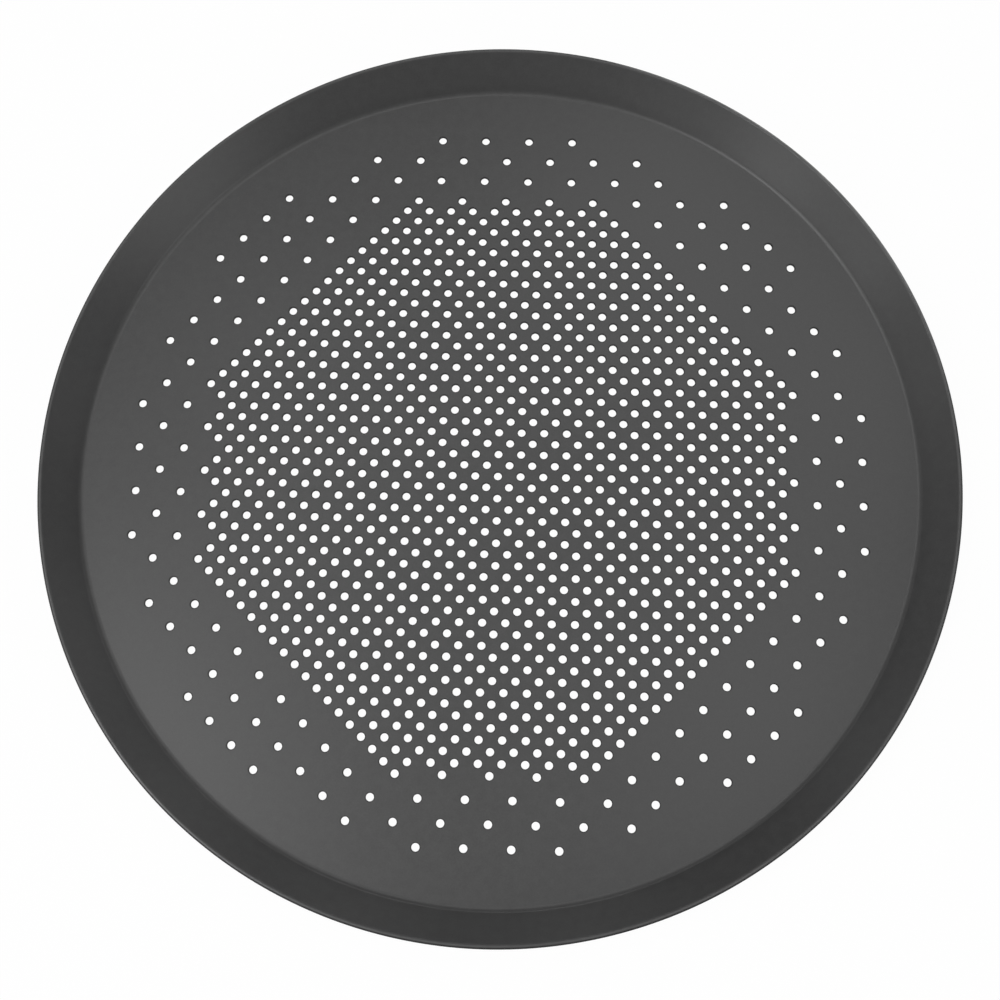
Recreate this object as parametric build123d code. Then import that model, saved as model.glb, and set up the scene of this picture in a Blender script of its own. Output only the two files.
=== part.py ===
from build123d import *
from math import asin, atan2, cos, hypot, pi, sin, sqrt, tan
import os

# A perforated pizza pan. A round blank of carbon steel is punched with steam holes, pressed
# to a flat floor with a short flared wall, and its raw edge is turned under as a closed hem.
# Lengths are in millimetres. The origin is the centre of the underside, with +Z up.

# The pan over everything
overall_diameter = 357.3
overall_height = 15.0

# The sheet that the whole pan is pressed from, with its coating
sheet_thickness = 1.0

# The flared wall: how far it reaches out in plan, from the fold to the rim's outermost point,
# and the radius on the inside of the fold
wall_reach = 12.9
corner_inside_radius = 3.0

# The hem: its width along the wall, from the outside of its bend to the cut edge, and the
# air gap left between the wall and the metal folded back under it
hem_width = 5.0
hem_gap = 0.2

# The steam holes, and the metal left between two neighbours in a row
hole_diameter = 3.15
land_between_holes = 3.2

# Where the holes lie, from the fold inwards: a plain border, then a band where only every
# second hole of every second row is punched, then the dense middle field, an octagon whose
# width across its shorter sides is a share of the width across its longer ones
plain_border_width = 17.25
sparse_band_width = 37.5
octagon_short_side_share = 1.03

# Sizes that follow from those above
floor_radius = overall_diameter / 2 - wall_reach
hem_inner_radius = hem_gap / 2
hem_outer_radius = hem_inner_radius + sheet_thickness
hole_pitch = hole_diameter + land_between_holes
sparse_field_radius = floor_radius - plain_border_width
dense_field_reach = sparse_field_radius - sparse_band_width
dense_corner_reach = dense_field_reach * octagon_short_side_share

# The wall rises from the fold as a straight line that is tangent to the outside of the hem's
# bend, so its angle follows from where the fold and the centre of that bend are. Points of
# the section are pairs of radius and height.
right_angle = pi / 2
fold = (floor_radius, sheet_thickness)
hem_centre = (overall_diameter / 2 - hem_outer_radius, overall_height - hem_outer_radius)
fold_to_hem = (hem_centre[0] - fold[0], hem_centre[1] - fold[1])
wall_angle = atan2(fold_to_hem[1], fold_to_hem[0]) + asin(hem_outer_radius / hypot(*fold_to_hem))

# The corner arc starts where the flat floor stops
flat_radius = floor_radius - corner_inside_radius * tan(wall_angle / 2)
corner_centre = (flat_radius, sheet_thickness + corner_inside_radius)


def at(centre, radius, angle):
    """The section point at an angle from the horizontal on a circle."""
    return (centre[0] + radius * cos(angle), centre[1] + radius * sin(angle))


def down_the_wall(point, distance):
    """The section point that lies a distance back along the wall's slope."""
    return (point[0] - distance * cos(wall_angle), point[1] - distance * sin(wall_angle))


def ring_of(outline):
    """A closed outline of the section, turned once round the pan's axis."""
    section = Plane.XZ * make_face(outline)
    return revolve(section, axis=Axis.Z)


def hole_centres():
    """The places of the holes, on one square grid turned 45 degrees to the pan's X axis.

    A hole is in the dense field when it lies inside the octagon. Outside it, up to the plain
    border, only the holes that are odd in both their row and their place in the row are left.
    """
    centres = []
    rows_out = int(sparse_field_radius / hole_pitch)
    step = hole_pitch * sqrt(1 / 2)
    for row in range(-rows_out, rows_out + 1):
        for place in range(-rows_out, rows_out + 1):
            across = hole_pitch * max(abs(row), abs(place))
            towards_corner = step * (abs(row) + abs(place))
            dense = across <= dense_field_reach and towards_corner <= dense_corner_reach
            odd = row % 2 == 1 and place % 2 == 1
            sparse = odd and hole_pitch * hypot(row, place) <= sparse_field_radius
            if dense or sparse:
                centres.append((step * (row - place), step * (row + place)))
    return centres


def perforated_floor():
    """The flat middle of the pressing, a disc with every hole punched straight through."""
    holes = []
    for x, y in hole_centres():
        holes.append(Wire([Edge.make_circle(hole_diameter / 2, Plane(origin=(x, y, 0)))]))
    disc = Face(Wire([Edge.make_circle(flat_radius)]), holes)
    return extrude(disc, amount=sheet_thickness, dir=(0, 0, 1))


def flared_side_wall():
    """The fold's bend and the straight flared wall, up to where the hem's bend starts."""
    bend_start = -right_angle
    bend_end = wall_angle - right_angle
    bend_middle = (bend_start + bend_end) / 2
    wall_top = wall_angle + right_angle
    inside = corner_inside_radius
    outside = corner_inside_radius + sheet_thickness
    outline = [
        ThreePointArc(
            at(corner_centre, inside, bend_start),
            at(corner_centre, inside, bend_middle),
            at(corner_centre, inside, bend_end),
        ),
        Line(at(corner_centre, inside, bend_end), at(hem_centre, hem_outer_radius, wall_top)),
        Line(
            at(hem_centre, hem_outer_radius, wall_top),
            at(hem_centre, hem_inner_radius, wall_top),
        ),
        Line(at(hem_centre, hem_inner_radius, wall_top), at(corner_centre, outside, bend_end)),
        ThreePointArc(
            at(corner_centre, outside, bend_end),
            at(corner_centre, outside, bend_middle),
            at(corner_centre, outside, bend_start),
        ),
        Line(at(corner_centre, outside, bend_start), at(corner_centre, inside, bend_start)),
    ]
    return ring_of(outline)


def turned_under_rim():
    """The hem: half a turn round its centre, then a flange back down under the wall."""
    flange = hem_width - hem_outer_radius
    start = wall_angle + right_angle
    end = wall_angle - right_angle
    outer_end = at(hem_centre, hem_outer_radius, end)
    inner_end = at(hem_centre, hem_inner_radius, end)
    outline = [
        ThreePointArc(
            at(hem_centre, hem_outer_radius, start),
            at(hem_centre, hem_outer_radius, wall_angle),
            outer_end,
        ),
        Line(outer_end, down_the_wall(outer_end, flange)),
        Line(down_the_wall(outer_end, flange), down_the_wall(inner_end, flange)),
        Line(down_the_wall(inner_end, flange), inner_end),
        ThreePointArc(
            inner_end,
            at(hem_centre, hem_inner_radius, wall_angle),
            at(hem_centre, hem_inner_radius, start),
        ),
        Line(
            at(hem_centre, hem_inner_radius, start),
            at(hem_centre, hem_outer_radius, start),
        ),
    ]
    return ring_of(outline)


pieces = {
    "perforated_floor": perforated_floor(),
    "flared_side_wall": flared_side_wall(),
    "turned_under_rim": turned_under_rim(),
}

os.makedirs("parts", exist_ok=True)
for name, piece in pieces.items():
    export_step(piece, f"parts/{name}.step")
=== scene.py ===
import math

import bpy
import numpy as np
from mathutils import Euler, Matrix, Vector, geometry


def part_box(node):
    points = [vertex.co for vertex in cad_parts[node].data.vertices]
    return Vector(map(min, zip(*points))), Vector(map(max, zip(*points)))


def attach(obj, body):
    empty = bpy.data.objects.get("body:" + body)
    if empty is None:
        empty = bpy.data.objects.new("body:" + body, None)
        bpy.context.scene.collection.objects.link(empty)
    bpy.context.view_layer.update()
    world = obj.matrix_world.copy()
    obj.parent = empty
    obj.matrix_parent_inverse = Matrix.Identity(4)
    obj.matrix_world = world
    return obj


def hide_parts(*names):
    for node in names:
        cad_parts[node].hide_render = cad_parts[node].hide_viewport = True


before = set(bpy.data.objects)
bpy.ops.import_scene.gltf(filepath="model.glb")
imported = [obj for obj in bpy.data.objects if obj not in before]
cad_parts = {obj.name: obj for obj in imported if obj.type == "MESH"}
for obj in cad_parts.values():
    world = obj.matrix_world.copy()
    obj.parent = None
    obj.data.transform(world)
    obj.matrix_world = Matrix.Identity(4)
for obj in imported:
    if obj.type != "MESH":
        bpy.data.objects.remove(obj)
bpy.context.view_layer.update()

# The perforated floor
# The flat middle of the pan. The steel blank is punched before it is pressed, and the punch
# comes from above, so each hole's top edge is drawn down a little and its bottom edge is crisp.
# The holes stand in one square grid that is turned 45 degrees to the pan.
floor_low, floor_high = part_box("perforated_floor")
_, rim_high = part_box("turned_under_rim")
flat_radius = floor_high.x
sheet_thickness = floor_high.z - floor_low.z
wall_reach = 0.0129
hole_diameter = 0.00315
land_between_holes = 0.0032
plain_border_width = 0.01725
sparse_band_width = 0.0375
octagon_short_side_share = 1.03
drawn_edge = 0.00012
hole_sides = 16
ring_sides = 360
same_point = 1e-9
hole_pitch = hole_diameter + land_between_holes
half_diagonal = hole_pitch * math.sqrt(1 / 2)
sparse_field_radius = rim_high.x - wall_reach - plain_border_width
dense_field_reach = sparse_field_radius - sparse_band_width
dense_corner_reach = dense_field_reach * octagon_short_side_share


def new_piece(name, points, faces, corner_normals):
    """A mesh object from a point array, face arrays and one normal for each face corner."""
    corners = np.concatenate([part.ravel() for part in faces])
    sides = np.concatenate([np.full(len(part), part.shape[1]) for part in faces])
    starts = np.concatenate([[0], np.cumsum(sides)[:-1]])
    mesh = bpy.data.meshes.new(name)
    mesh.vertices.add(len(points))
    mesh.vertices.foreach_set("co", points.ravel())
    mesh.loops.add(len(corners))
    mesh.loops.foreach_set("vertex_index", corners)
    mesh.polygons.add(len(sides))
    mesh.polygons.foreach_set("loop_start", starts)
    mesh.polygons.foreach_set("use_smooth", np.ones(len(sides), bool))
    mesh.update(calc_edges=True)
    mesh.normals_split_custom_set(corner_normals.reshape(-1, 3))
    piece = bpy.data.objects.new(name, mesh)
    bpy.context.scene.collection.objects.link(piece)
    return piece


def grid_place(row, place):
    """The point of the grid that is some cells along its rows and some across them."""
    return half_diagonal * np.stack([row - place, row + place], -1)


def floor_cells():
    """The grid's cells that fit on the flat floor, by row and place, and which are punched.

    A cell is punched when its centre lies inside the dense octagon, or when both its numbers
    are odd and it lies inside the sparse field's circle.
    """
    reach = int(flat_radius / hole_pitch)
    row, place = np.mgrid[-reach:reach + 1, -reach:reach + 1].reshape(2, -1)
    centre = abs(grid_place(row, place))
    furthest = np.hypot(centre.max(-1) + half_diagonal, centre.min(-1))
    kept = furthest < flat_radius - drawn_edge
    row, place, centre = row[kept], place[kept], centre[kept]
    across = hole_pitch * np.maximum(abs(row), abs(place))
    towards_corner = half_diagonal * (abs(row) + abs(place))
    dense = (across <= dense_field_reach) & (towards_corner <= dense_corner_reach)
    odd = (row % 2 == 1) & (place % 2 == 1)
    sparse = odd & (hole_pitch * np.hypot(row, place) <= sparse_field_radius)
    return row, place, dense | sparse


def border_triangles(flat_points, stairs, stair_edges, ring, row, place):
    """Triangles between the stepped outline of the cells and the round edge of the floor.

    A constrained Delaunay triangulation of both outlines, less what lies on a cell, with every
    triangle turned anticlockwise.
    """
    known = np.concatenate([stairs, ring])
    ring_here = len(stairs) + np.arange(len(ring))
    edges = np.concatenate([stair_edges, np.stack([ring_here, np.roll(ring_here, -1)], 1)])
    spots = [Vector(spot) for spot in flat_points[known]]
    made = geometry.delaunay_2d_cdt(spots, edges.tolist(), [], 0, same_point)
    source = np.array([old[0] for old in made[3]])
    triangles = known[source[np.array(made[2])]]
    middle = flat_points[triangles].mean(1) / (2 * half_diagonal)
    middle_row = np.rint(middle[:, 1] + middle[:, 0]).astype(int)
    middle_place = np.rint(middle[:, 1] - middle[:, 0]).astype(int)
    # A cell's row and place are joined to one number, so that whole cells can be compared
    spread = 4 * int(flat_radius / hole_pitch)
    on_cell = np.isin(middle_row * spread + middle_place, row * spread + place)
    triangles = triangles[~on_cell]
    first, second, third = flat_points[triangles].transpose(1, 0, 2)
    side, other = second - first, third - first
    backwards = side[:, 0] * other[:, 1] < side[:, 1] * other[:, 0]
    triangles[backwards] = triangles[backwards][:, ::-1]
    return triangles


def make_floor():
    """The floor as one closed shell of three kinds of face.

    The two flats are the cells, each with a fan of triangles round its hole, and the border.
    A hole is three rings of points: the drawn top edge, the punched wall's top and its bottom.
    Their radius is that of a many-sided hole with the round hole's area.
    """
    row, place, punched = floor_cells()
    sign_row = np.array([1, 1, -1, -1])
    sign_place = np.array([-1, 1, 1, -1])
    twice = np.stack([2 * row[:, None] + sign_row, 2 * place[:, None] + sign_place], -1)
    corners, index = np.unique(twice.reshape(-1, 2), axis=0, return_inverse=True)
    cells = index.reshape(-1, 4)
    angle = 2 * math.pi * np.arange(ring_sides) / ring_sides
    spokes = np.stack([np.cos(angle), np.sin(angle)], 1)
    corner_places = grid_place(corners[:, 0], corners[:, 1]) / 2
    flat_points = np.concatenate([corner_places, flat_radius * spokes])
    flat_count = len(flat_points)
    ring = len(corners) + np.arange(ring_sides)

    # The sides that only one cell has make the stepped outline
    sides = np.stack([cells, np.roll(cells, -1, 1)], -1).reshape(-1, 2)
    there = sides[:, 0] * flat_count + sides[:, 1]
    back = sides[:, 1] * flat_count + sides[:, 0]
    stairs, stair_edges = np.unique(sides[~np.isin(there, back)], return_inverse=True)
    border = border_triangles(flat_points, stairs, stair_edges.reshape(-1, 2), ring, row, place)

    hole_turn = 2 * math.pi / hole_sides
    hole_angle = hole_turn * np.arange(hole_sides)
    hole_spokes = np.stack([np.cos(hole_angle), np.sin(hole_angle)], 1)
    radius = hole_diameter / 2 * math.sqrt(hole_turn / math.sin(hole_turn))
    ring_radii = np.array([radius + drawn_edge, radius, radius])
    ring_heights = np.array([sheet_thickness, sheet_thickness - drawn_edge, 0])
    hole_middles = grid_place(row[punched], place[punched])
    holes = len(hole_middles)
    across = hole_middles[:, None, None] + ring_radii[:, None, None] * hole_spokes
    up = np.broadcast_to(ring_heights[:, None, None], (holes, 3, hole_sides, 1))
    hole_points = np.concatenate([across, up], -1).reshape(-1, 3)
    top = np.column_stack([flat_points, np.full(flat_count, sheet_thickness)])
    bottom = np.column_stack([flat_points, np.zeros(flat_count)])
    points = np.concatenate([top, bottom, hole_points]) + [0, 0, floor_low.z]
    rings = 2 * flat_count + np.arange(3 * holes * hole_sides).reshape(holes, 3, hole_sides)

    # Round a hole, each corner of the cell fans out to the ring's nearest quarter, and one more
    # triangle on each side of the cell closes the gap between two fans
    quarter = hole_sides // 4
    step = np.arange(hole_sides)
    after = (step + 1) % hole_sides
    nearest = (step + quarter // 2) // quarter % 4
    side = np.arange(4)
    beside = (quarter * side + quarter // 2) % hole_sides

    def around(cell, edge):
        fans = np.stack([edge[:, step], cell[:, nearest], edge[:, after]], -1)
        gaps = np.stack([cell[:, side], cell[:, (side + 1) % 4], edge[:, beside]], -1)
        return np.concatenate([fans.reshape(-1, 3), gaps.reshape(-1, 3)])

    round_top = around(cells[punched], rings[:, 0])
    round_bottom = around(cells[punched] + flat_count, rings[:, 2])[:, ::-1]
    plain_top = cells[~punched]
    plain_bottom = plain_top[:, ::-1] + flat_count
    border_bottom = border[:, ::-1] + flat_count
    high, low = rings[:, :2], rings[:, 1:]
    hole_walls = np.stack([high, high[..., after], low[..., after], low], -1).reshape(-1, 4)
    below = flat_count + ring
    edge = np.stack([below, np.roll(below, -1), np.roll(ring, -1), ring], -1)

    upwards = np.array([0.0, 0.0, 1.0])
    inwards = -np.column_stack([hole_spokes, np.zeros(hole_sides)])
    ring_normals = np.stack([np.tile(upwards, (hole_sides, 1)), inwards, inwards])
    high_normals, low_normals = ring_normals[:2], ring_normals[1:]
    wall_normals = np.stack(
        [high_normals, high_normals[:, after], low_normals[:, after], low_normals], 2)
    outwards = np.column_stack([spokes, np.zeros(ring_sides)])
    next_outwards = np.roll(outwards, -1, 0)
    edge_normals = np.stack([outwards, next_outwards, next_outwards, outwards], 1)
    faces = [
        round_top, border, round_bottom, border_bottom,
        plain_top, plain_bottom, hole_walls, edge,
    ]
    normals = [
        np.tile(upwards, (round_top.size + border.size, 1)),
        np.tile(-upwards, (round_bottom.size + border_bottom.size, 1)),
        np.tile(upwards, (plain_top.size, 1)),
        np.tile(-upwards, (plain_bottom.size, 1)),
        np.tile(wall_normals.reshape(-1, 3), (holes, 1)),
        edge_normals.reshape(-1, 3),
    ]
    floor = new_piece("pan_floor", points, faces, np.concatenate(normals))
    beside_hole = [len(part) * [part is round_top or part is hole_walls] for part in faces]
    mark = floor.data.attributes.new("beside_hole", "FLOAT", "FACE")
    mark.data.foreach_set("value", np.concatenate(beside_hole).astype(np.float32))
    return floor


pan_floor = make_floor()

# The coating is sprayed on as a film and baked. Its grey has the clouds of the spray passes,
# the mottle of the film as it dries, the fine grain of its filler and a few dust specks, and
# its skin keeps the low bumps of the settled droplets. A share is how much of the grey, or of
# the roughness, goes up and down with its pattern.
coat_grey = 0.035
coat_roughness = 0.34
coat_ior = 1.35
spray_pass_size = 0.07
spray_pass_share = 0.08
mottle_size = 0.0035
mottle_share = 0.35
grain_size = 0.0006
grain_share = 0.45
rough_share = 0.07
spray_pass_detail = 1
film_detail = 2
droplet_size = 0.0008
droplet_height = 0.000004
droplet_detail = 1
speck_spacing = 0.02
speck_size = 0.00025
specks_kept = 0.33
speck_tone = 1.25


def worked(material, operation, *given):
    """A Math node in a material. What it is given are numbers or other nodes' outputs."""
    node = material.node_tree.nodes.new("ShaderNodeMath")
    node.operation = operation
    for socket, value in zip(node.inputs, given):
        if isinstance(value, bpy.types.NodeSocket):
            material.node_tree.links.new(value, socket)
        else:
            socket.default_value = value
    return node.outputs[0]


def clouded(material, place, size, detail):
    """Noise from about -1/2 to 1/2, whose clouds are about one size across."""
    node = material.node_tree.nodes.new("ShaderNodeTexNoise")
    node.inputs["Scale"].default_value = 1 / size
    node.inputs["Detail"].default_value = detail
    material.node_tree.links.new(place, node.inputs["Vector"])
    return worked(material, "SUBTRACT", node.outputs[0], 0.5)


def faded(material, value, start, end):
    """A mask that eases from 0 where the value is start to 1 where it is end."""
    node = material.node_tree.nodes.new("ShaderNodeMapRange")
    node.interpolation_type = "SMOOTHSTEP"
    node.inputs["From Min"].default_value = start
    node.inputs["From Max"].default_value = end
    material.node_tree.links.new(value, node.inputs["Value"])
    return node.outputs[0]


def toned(material, mask, share):
    """Brings the grey of the coating to a share of itself where the mask is 1."""
    grey = material.node_tree.nodes["Principled BSDF"].inputs["Base Color"]
    change = worked(material, "MULTIPLY_ADD", mask, share - 1, 1.0)
    changed = worked(material, "MULTIPLY", grey.links[0].from_socket, change)
    material.node_tree.links.new(changed, grey)


def roughened(material, mask, more):
    """Adds to the coating's roughness where the mask is 1."""
    rough = material.node_tree.nodes["Principled BSDF"].inputs["Roughness"]
    changed = worked(material, "MULTIPLY_ADD", mask, more, rough.links[0].from_socket)
    material.node_tree.links.new(changed, rough)


def specked(material, place):
    """A mask of the dust specks: the seeds of a Voronoi pattern, of which a part is kept."""
    node = material.node_tree.nodes.new("ShaderNodeTexVoronoi")
    node.voronoi_dimensions = "2D"
    node.inputs["Scale"].default_value = 1 / speck_spacing
    material.node_tree.links.new(place, node.inputs["Vector"])
    radius = speck_size / speck_spacing
    spot = faded(material, node.outputs["Distance"], radius, radius / 2)
    split = material.node_tree.nodes.new("ShaderNodeSeparateColor")
    material.node_tree.links.new(node.outputs["Color"], split.inputs[0])
    kept = worked(material, "LESS_THAN", split.outputs[0], specks_kept)
    return worked(material, "MULTIPLY", spot, kept)


def coating(name):
    """The coating's material: one grey, times the sum of 1 and its clouds, mottle and grain."""
    material = bpy.data.materials.new(name)
    material.use_nodes = True
    nodes, links = material.node_tree.nodes, material.node_tree.links
    shader = nodes["Principled BSDF"]
    shader.inputs["IOR"].default_value = coat_ior
    place = nodes.new("ShaderNodeTexCoord").outputs["Object"]
    clouds = clouded(material, place, spray_pass_size, spray_pass_detail)
    mottle = clouded(material, place, mottle_size, film_detail)
    grain = clouded(material, place, grain_size, film_detail)
    tone = worked(material, "MULTIPLY_ADD", clouds, spray_pass_share, 1.0)
    tone = worked(material, "MULTIPLY_ADD", mottle, mottle_share, tone)
    tone = worked(material, "MULTIPLY_ADD", grain, grain_share, tone)
    links.new(worked(material, "MULTIPLY", tone, coat_grey), shader.inputs["Base Color"])
    toned(material, specked(material, place), speck_tone)
    rough = worked(material, "MULTIPLY_ADD", mottle, rough_share, coat_roughness)
    rough = worked(material, "MULTIPLY_ADD", grain, rough_share, rough)
    links.new(rough, shader.inputs["Roughness"])
    bump = nodes.new("ShaderNodeBump")
    bump.inputs["Strength"].default_value = 1.0
    bump.inputs["Distance"].default_value = droplet_height
    droplets = clouded(material, place, droplet_size, droplet_detail)
    links.new(droplets, bump.inputs["Height"])
    links.new(bump.outputs["Normal"], shader.inputs["Normal"])
    return material


def radius_and_height(material):
    """How far a place on the pan is from its axis, and above the surface it stands on."""
    nodes, links = material.node_tree.nodes, material.node_tree.links
    split = nodes.new("ShaderNodeSeparateXYZ")
    links.new(nodes.new("ShaderNodeTexCoord").outputs["Object"], split.inputs[0])
    x, y, height = split.outputs
    squares = worked(material, "MULTIPLY_ADD", x, x, worked(material, "MULTIPLY", y, y))
    return worked(material, "SQRT", squares), height


def banded(material, value, middle, width):
    """A mask that is 1 where the value is the middle one and 0 half a width to each side."""
    up = faded(material, value, middle - width / 2, middle)
    down = faded(material, value, middle + width / 2, middle)
    return worked(material, "MULTIPLY", up, down)


# Where the pan is handled and stands on racks and tables, its coating is rubbed, in patches. The
# same patches also give painted highlights on the rim's lip.
rub_patch_size = 0.012
rub_patch_detail = 3
rub_gloss = 0.05


def rub_and_highlight_patches(material, mask, tone):
    """Patches within a mask, smoother and up to a tone's share of the coating's grey: rubbed wear,
    and on the rim's lip painted highlights.
    """
    place = material.node_tree.nodes.new("ShaderNodeTexCoord").outputs["Object"]
    patches = clouded(material, place, rub_patch_size, rub_patch_detail)
    patch_mask = worked(material, "MULTIPLY", mask, worked(material, "ADD", patches, 0.5))
    toned(material, patch_mask, tone)
    roughened(material, patch_mask, -rub_gloss)


# Round each hole the coating is painted darker in a narrow ring, and on the wall of the hole:
# painted shade at the holes' edges and inside them.
hole_shade_width = 0.00045
hole_shade_tone = 0.2
ring_roughness = 0.35


def hole_shade_mask(material):
    """The mask of the painted shade: 1 at the holes' edges and on their walls, and 0 a ring's
    width away.

    The distance to the nearest grid place is found by wrapping the row and place numbers round
    to their nearest whole numbers.
    """
    nodes, links = material.node_tree.nodes, material.node_tree.links
    split = nodes.new("ShaderNodeSeparateXYZ")
    links.new(nodes.new("ShaderNodeTexCoord").outputs["Object"], split.inputs[0])
    x, y, _ = split.outputs
    numbers = [worked(material, "ADD", y, x), worked(material, "SUBTRACT", y, x)]
    squares = []
    for number in numbers:
        cells = worked(material, "DIVIDE", number, 2 * half_diagonal)
        beyond = worked(material, "WRAP", cells, 0.5, -0.5)
        squares.append(worked(material, "MULTIPLY", beyond, beyond))
    from_middle = worked(material, "SQRT", worked(material, "ADD", *squares))
    ring_start = (hole_diameter / 2 + drawn_edge) / hole_pitch
    ring_end = ring_start + hole_shade_width / hole_pitch
    ring = faded(material, from_middle, ring_end, ring_start)
    punched = nodes.new("ShaderNodeAttribute")
    punched.attribute_name = "beside_hole"
    return worked(material, "MULTIPLY", ring, punched.outputs["Fac"])


# The underside is rubbed along its edge, where the pan slides over the rack
underside_rub_width = 0.012
underside_rub_tone = 1.6

floor_coating = coating("floor_coating")
# Painted shade round the holes and on their walls
ring = hole_shade_mask(floor_coating)
toned(floor_coating, ring, hole_shade_tone)
roughened(floor_coating, ring, ring_roughness)
radius, height = radius_and_height(floor_coating)
along_edge = faded(floor_coating, radius, flat_radius - underside_rub_width, flat_radius)
below = faded(floor_coating, height, sheet_thickness / 2, 0)
rub_and_highlight_patches(floor_coating, worked(floor_coating, "MULTIPLY", along_edge, below), underside_rub_tone)
pan_floor.data.materials.append(floor_coating)
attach(pan_floor, "root")
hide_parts("perforated_floor")

# The flared side wall
# The border of the blank, drawn up over the forming ring in one stroke: a small bend at the
# fold and a short straight flare. It is the same sheet and the same coating as the floor.
corner_inside_radius = 0.003
hem_gap = 0.0002
bend_steps = 14
straight_steps = 6
hem_inner_radius = hem_gap / 2
hem_outer_radius = hem_inner_radius + sheet_thickness
corner_outside_radius = corner_inside_radius + sheet_thickness
corner_centre = np.array([flat_radius, floor_low.z + corner_outside_radius])
hem_centre = np.array([rim_high.x, rim_high.z]) - hem_outer_radius
between = hem_centre - corner_centre
wall_angle = math.atan2(between[1], between[0]) + math.asin(
    (corner_inside_radius + hem_outer_radius) / math.hypot(*between))
quarter_turn = math.pi / 2
across_wall = np.array([-math.sin(wall_angle), math.cos(wall_angle)])


def arc(centre, radius, start, end, steps, side=1):
    """An arc of the section, with its normals outwards (side 1) or to its centre (side -1)."""
    angle = np.linspace(start, end, steps + 1)
    spoke = np.stack([np.cos(angle), np.sin(angle)], 1)
    return centre + radius * spoke, side * spoke


def straight(start, end, steps):
    """A straight run of the section, with its normals to the left of its direction."""
    share = np.linspace(0, 1, steps + 1)[:, None]
    along = (end - start) / np.linalg.norm(end - start)
    normal = np.array([-along[1], along[0]])
    return start + share * (end - start), np.tile(normal, (steps + 1, 1))


def turned(name, runs):
    """A closed outline of the section, turned once round the pan's axis.

    Each run is its points and their normals, as pairs of radius and height. A run ends where
    the next begins, and the outline goes clockwise, so that the metal is on its right.
    """
    outline = np.concatenate([points[:-1] for points, _ in runs])
    begins = np.concatenate([normals[:-1] for _, normals in runs])
    ends = np.concatenate([normals[1:] for _, normals in runs])
    angle = 2 * math.pi * np.arange(ring_sides) / ring_sides

    def spun(pairs):
        across = pairs[:, None, :1] * np.stack([np.cos(angle), np.sin(angle)], 1)
        up = np.broadcast_to(pairs[:, None, 1:], (len(pairs), ring_sides, 1))
        return np.concatenate([across, up], -1)

    index = np.arange(len(outline) * ring_sides).reshape(-1, ring_sides)
    after = np.roll(index, -1, 0)
    faces = np.stack([index, after, np.roll(after, -1, 1), np.roll(index, -1, 1)], -1)
    first, last = spun(begins), spun(ends)
    normals = np.stack([first, last, np.roll(last, -1, 1), np.roll(first, -1, 1)], 2)
    return new_piece(name, spun(outline).reshape(-1, 3), [faces.reshape(-1, 4)], normals)


bend_end = wall_angle - quarter_turn
bend_inside = arc(corner_centre, corner_inside_radius, -quarter_turn, bend_end, bend_steps, -1)
bend_outside = arc(corner_centre, corner_outside_radius, bend_end, -quarter_turn, bend_steps)
wall_end_inside = hem_centre + hem_outer_radius * across_wall
wall_end_outside = hem_centre + hem_inner_radius * across_wall
pan_wall = turned("pan_wall", [
    bend_inside,
    straight(bend_inside[0][-1], wall_end_inside, straight_steps),
    straight(wall_end_inside, wall_end_outside, 1),
    straight(wall_end_outside, bend_outside[0][0], straight_steps),
    bend_outside,
    straight(bend_outside[0][-1], bend_inside[0][0], 1),
])

# In the bend and low on the wall the coating is painted darker: painted shade of the crease.
# Underneath, the bend is rubbed where the floor's edge is.
foot_start = 0.0025
foot_end = 0.0055
foot_painted_shade_tone = 0.9
underside_rub_height = 0.0008

wall_coating = coating("wall_coating")
radius, height = radius_and_height(wall_coating)
# Painted shade in the bend and low on the wall
foot_shade = faded(wall_coating, radius, flat_radius + foot_end, flat_radius + foot_start)
toned(wall_coating, foot_shade, foot_painted_shade_tone)
rub_and_highlight_patches(wall_coating, faded(wall_coating, height, underside_rub_height, 0), underside_rub_tone)
pan_wall.data.materials.append(wall_coating)
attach(pan_wall, "root")
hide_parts("flared_side_wall")

# The turned-under rim
# The raw edge of the sheet, folded back under the wall in a hemming die and closed nearly
# flat, which leaves a smooth round lip. The sheared edge stays out of sight underneath.
hem_width = 0.005
sheared_edge_radius = 0.00012
lip_steps = 20
lip_inside_steps = 6
sheared_edge_steps = 4
flange_steps = 3
along_wall = np.array([math.cos(wall_angle), math.sin(wall_angle)])
flange_end = hem_outer_radius - hem_width
top_turn = wall_angle + quarter_turn
lip = arc(hem_centre, hem_outer_radius, top_turn, bend_end, lip_steps)
lip_inside = arc(hem_centre, hem_inner_radius, bend_end, top_turn, lip_inside_steps, -1)


def on_flange(inset, depth):
    """A point of the flange: inset from its cut edge, and depth below the hem's centre line."""
    return hem_centre + (flange_end + inset) * along_wall - depth * across_wall


cut_low = on_flange(sheared_edge_radius, hem_outer_radius - sheared_edge_radius)
cut_high = on_flange(sheared_edge_radius, hem_inner_radius + sheared_edge_radius)
low_end = bend_end - quarter_turn
low_round = arc(cut_low, sheared_edge_radius, bend_end, low_end, sheared_edge_steps)
high_start = wall_angle + math.pi
high_round = arc(cut_high, sheared_edge_radius, high_start, top_turn, sheared_edge_steps)
pan_rim = turned("pan_rim", [
    lip,
    straight(lip[0][-1], low_round[0][0], flange_steps),
    low_round,
    straight(low_round[0][-1], high_round[0][0], 1),
    high_round,
    straight(high_round[0][-1], lip_inside[0][0], flange_steps),
    lip_inside,
    straight(lip_inside[0][-1], lip[0][0], 1),
])

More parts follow.
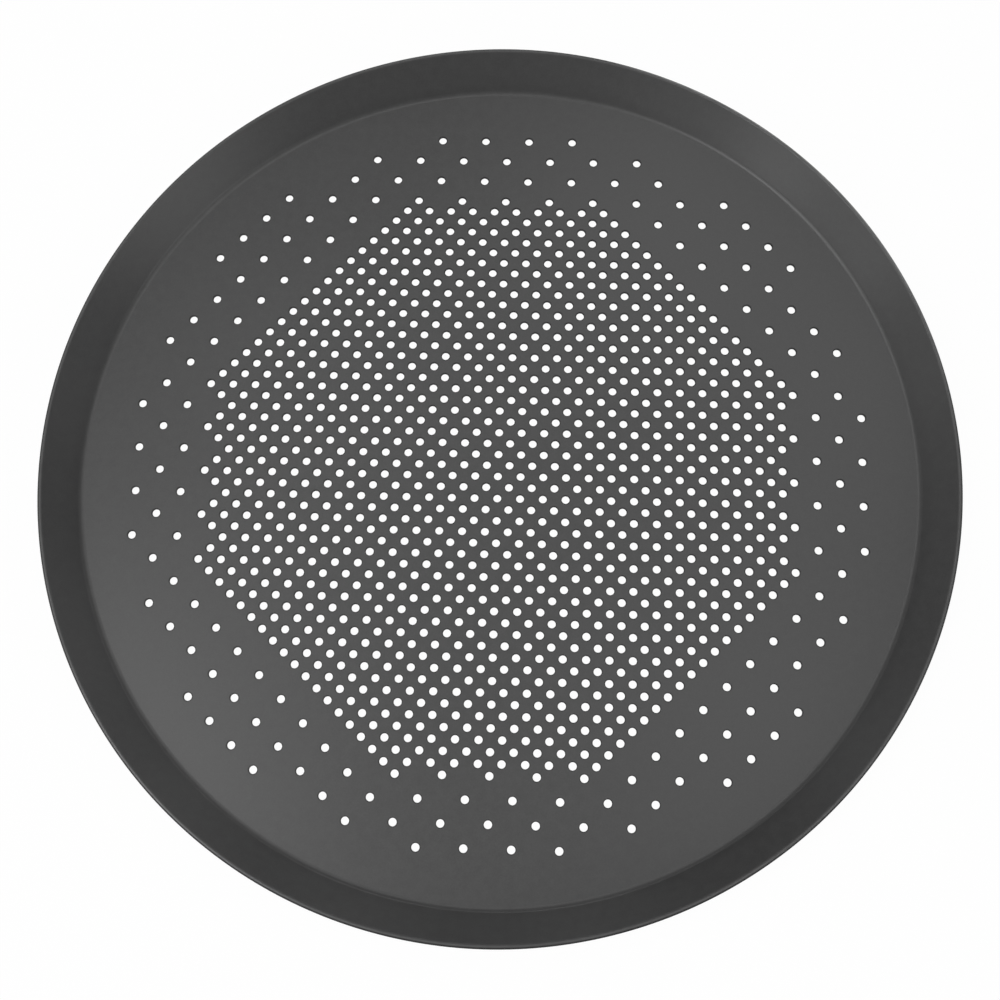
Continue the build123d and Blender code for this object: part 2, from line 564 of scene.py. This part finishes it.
# The crown of the lip is rubbed by hands and cloths, and is painted lighter there: wear and a
# painted highlight. Towards a bearing of 45 degrees the lip's outer half is painted much lighter,
# a painted highlight, and elsewhere its outer edge is painted darker and made duller, painted
# shade.
crown_inset = 0.00095
crown_width = 0.0008
crown_rub_and_highlight_tone = 2.6
highlight_side_bearing = math.radians(45)
highlight_side_start = 0.146
highlight_side_end = 0.168
highlight_side_tone = 4.0
outer_shade_start = 0.00075
outer_shade_end = 0.0004
outer_shade_tone = 0.1
outer_shade_roughness = 0.4


def along(material, bearing):
    """How far out a place on the pan is in the direction of a bearing."""
    nodes, links = material.node_tree.nodes, material.node_tree.links
    product = nodes.new("ShaderNodeVectorMath")
    product.operation = "DOT_PRODUCT"
    product.inputs[1].default_value = (math.cos(bearing), math.sin(bearing), 0)
    links.new(nodes.new("ShaderNodeTexCoord").outputs["Object"], product.inputs[0])
    return product.outputs["Value"]


rim_coating = coating("rim_coating")
radius, height = radius_and_height(rim_coating)
above = faded(rim_coating, height, hem_centre[1], rim_high.z)
# Painted highlight along the crown, laid over its rubbed patches
crown = banded(rim_coating, radius, rim_high.x - crown_inset, crown_width)
rub_and_highlight_patches(rim_coating, worked(rim_coating, "MULTIPLY", crown, above), crown_rub_and_highlight_tone)
# Painted highlight on the lip's outer half, towards the bearing
highlight_side_mask = faded(rim_coating, along(rim_coating, highlight_side_bearing), highlight_side_start, highlight_side_end)
outer_half = faded(rim_coating, radius, hem_centre[0], rim_high.x - crown_inset)
rub_and_highlight_patches(rim_coating, worked(rim_coating, "MULTIPLY", highlight_side_mask, outer_half), highlight_side_tone)
# Painted shade on the lip's outer edge everywhere else, which is also made duller
outer_shade = faded(rim_coating, radius, rim_high.x - outer_shade_start, rim_high.x - outer_shade_end)
elsewhere = worked(rim_coating, "SUBTRACT", 1.0, highlight_side_mask)
outer_shade = worked(rim_coating, "MULTIPLY", outer_shade, elsewhere)
toned(rim_coating, outer_shade, outer_shade_tone)
roughened(rim_coating, outer_shade, outer_shade_roughness)
pan_rim.data.materials.append(rim_coating)
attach(pan_rim, "root")
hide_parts("turned_under_rim")

# The white table
# A plain white table, large enough to fill every view. The camera sees it almost full white,
# and what is left of its own paint keeps the pan's shadow.
table_reach = 6.0
table_drop = 0.0002
table_white = 0.8
table_roughness = 0.6
seen_glow = 0.97


def in_view(material):
    """1 where the camera sees it, directly, in a shine or through glass, and 0 where it lights."""
    rays = material.node_tree.nodes.new("ShaderNodeLightPath").outputs
    seen = worked(material, "MAXIMUM", rays["Is Camera Ray"], rays["Is Glossy Ray"])
    return worked(material, "MAXIMUM", seen, rays["Is Transmission Ray"])


table_mesh = bpy.data.meshes.new("table")
table_corners = table_reach * np.array([[-1, -1], [1, -1], [1, 1], [-1, 1]])
table_points = np.column_stack([table_corners, np.full(len(table_corners), -table_drop)])
table_mesh.from_pydata(table_points.tolist(), [], [range(len(table_points))])
table = bpy.data.objects.new("table", table_mesh)
bpy.context.scene.collection.objects.link(table)
table_paint = bpy.data.materials.new("white_table")
table_paint.use_nodes = True
nodes, links = table_paint.node_tree.nodes, table_paint.node_tree.links
paint = nodes["Principled BSDF"]
paint.inputs["Base Color"].default_value = (table_white, table_white, table_white, 1)
paint.inputs["Roughness"].default_value = table_roughness
glow = nodes.new("ShaderNodeEmission")
seen = in_view(table_paint)
mix = nodes.new("ShaderNodeMixShader")
links.new(worked(table_paint, "MULTIPLY", seen, seen_glow), mix.inputs[0])
links.new(paint.outputs[0], mix.inputs[1])
links.new(glow.outputs[0], mix.inputs[2])
links.new(mix.outputs[0], nodes["Material Output"].inputs["Surface"])
table.data.materials.append(table_paint)

# The studio light
# Soft round lamps on stands and booms, all turned to the pan: seven high above it, the broadest
# two to the left and to the right of the photographer, and small low ones all round the pan.
# Each is a bearing from the pan's X axis, a height angle, the lamp's width and its power.
lamp_distance = 3.0
lamp_table = {
    "over_right": (12, 80, 0.81, 7.1),
    "over_left": (180, 70, 0.94, 15.3),
    "over_back_left": (120, 70, 0.52, 5.2),
    "over_back_right": (48, 66, 0.27, 3.5),
    "over_back": (78, 64, 0.28, 4.8),
    "over_front_left": (210, 64, 0.5, 15.9),
    "over_front": (340, 64, 0.4, 5.5),
    "broad_left": (210, 44, 1.62, 23.9),
    "broad_right": (330, 26, 1.62, 22.4),
    "low_left": (180, 8, 0.6, 2.0),
    "low_left_front": (200, 5, 0.46, 7.1),
    "low_front_left": (220, 8, 0.78, 12.3),
    "low_front": (240, 14, 0.9, 2.2),
    "low_right": (4, 5, 0.34, 1.3),
    "low_back_right": (40, 11, 1.11, 4.8),
    "low_back_1": (60, 5, 0.37, 3.8),
    "low_back_2": (80, 5, 0.46, 5.2),
    "low_back_3": (100, 5, 0.34, 4.7),
    "low_back_left": (132, 5, 0.34, 2.3),
}
for name, (bearing, rise, width, power) in lamp_table.items():
    bearing, rise = math.radians(bearing), math.radians(rise)
    level = math.cos(rise)
    way = Vector((math.cos(bearing) * level, math.sin(bearing) * level, math.sin(rise)))
    lamp_data = bpy.data.lights.new(name, "AREA")
    lamp_data.shape = "DISK"
    lamp_data.size = width
    lamp_data.energy = power
    lamp = bpy.data.objects.new(name, lamp_data)
    lamp.location = lamp_distance * way
    lamp.rotation_euler = way.to_track_quat("Z", "Y").to_euler()
    lamp.visible_camera = False
    bpy.context.scene.collection.objects.link(lamp)

# The room is white where it is seen, directly or in the coating, and lights nothing itself
world = bpy.data.worlds.new("white_room")
world.use_nodes = True
room = world.node_tree.nodes["Background"]
room.inputs["Color"].default_value = (1, 1, 1, 1)
world.node_tree.links.new(in_view(world), room.inputs["Strength"])
bpy.context.scene.world = world

# The camera
# It stands in front of the pan and looks steeply down on it, as the photograph was taken.
camera_place = (0.016389, -0.137578, 0.565578)
camera_turn = (12.8023, 1.1926, 1.5791)
film_width = 36
lens_length = 52.896
nearest_seen = 0.01
camera_data = bpy.data.cameras.new("camera")
camera = bpy.data.objects.new("camera", camera_data)
bpy.context.scene.collection.objects.link(camera)
camera_data.sensor_width = film_width
camera_data.lens = lens_length
camera_data.clip_start = nearest_seen
camera.location = camera_place
camera.rotation_euler = Euler([math.radians(turn) for turn in camera_turn])
bpy.context.scene.camera = camera
bpy.context.scene.view_settings.view_transform = "Standard"
